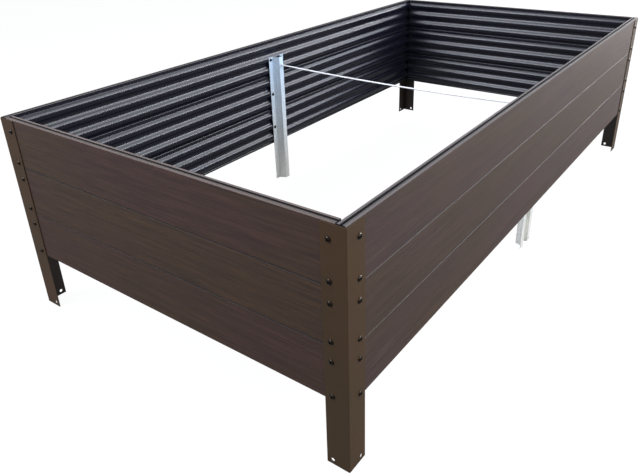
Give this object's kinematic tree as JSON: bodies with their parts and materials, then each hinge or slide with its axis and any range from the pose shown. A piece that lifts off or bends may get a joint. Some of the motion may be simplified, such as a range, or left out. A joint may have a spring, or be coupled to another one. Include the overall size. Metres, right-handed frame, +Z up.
{
  "type": "raised garden bed",
  "caption": "Free-standing rectangular raised garden bed with no floor: tongue-and-groove composite board walls on steel angle corner posts, with galvanised mid posts and a tie rod across.",
  "frame": {"origin": "on the ground, under the middle of the bed", "axes": "+X along the long walls, +Y from the front wall to the back wall, +Z up"},
  "size_m": [2.4146, 1.2286, 0.648],
  "materials": {
    "board": "embossed wood grain, dark brown",
    "post": "satin bronze powder coat",
    "galvanised": "galvanised",
    "screw": "satin black",
    "rod": "bright zinc"
  },
  "bodies": {
    "root": {"corner_post_front_left": "post", "corner_post_front_right": "post", "corner_post_back_right": "post", "corner_post_back_left": "post", "front_board_bottom": "board", "front_board_middle": "board", "front_board_top": "board", "back_board_bottom": "board", "back_board_middle": "board", "back_board_top": "board", "left_end_board_bottom": "board", "left_end_board_middle": "board", "left_end_board_top": "board", "right_end_board_bottom": "board", "right_end_board_middle": "board", "right_end_board_top": "board", "mid_post_front": "galvanised", "mid_post_back": "galvanised", "brace_rod": "rod", "brace_nuts_front": "rod", "brace_nuts_back": "rod", "mid_post_screws_front": "screw", "mid_post_screws_back": "screw", "corner_screws_front_left_long_flange": "screw", "corner_screws_front_left_end_flange": "screw", "corner_screws_front_right_long_flange": "screw", "corner_screws_front_right_end_flange": "screw", "corner_screws_back_left_long_flange": "screw", "corner_screws_back_left_end_flange": "screw", "corner_screws_back_right_long_flange": "screw", "corner_screws_back_right_end_flange": "screw"}
  },
  "joints": []
}
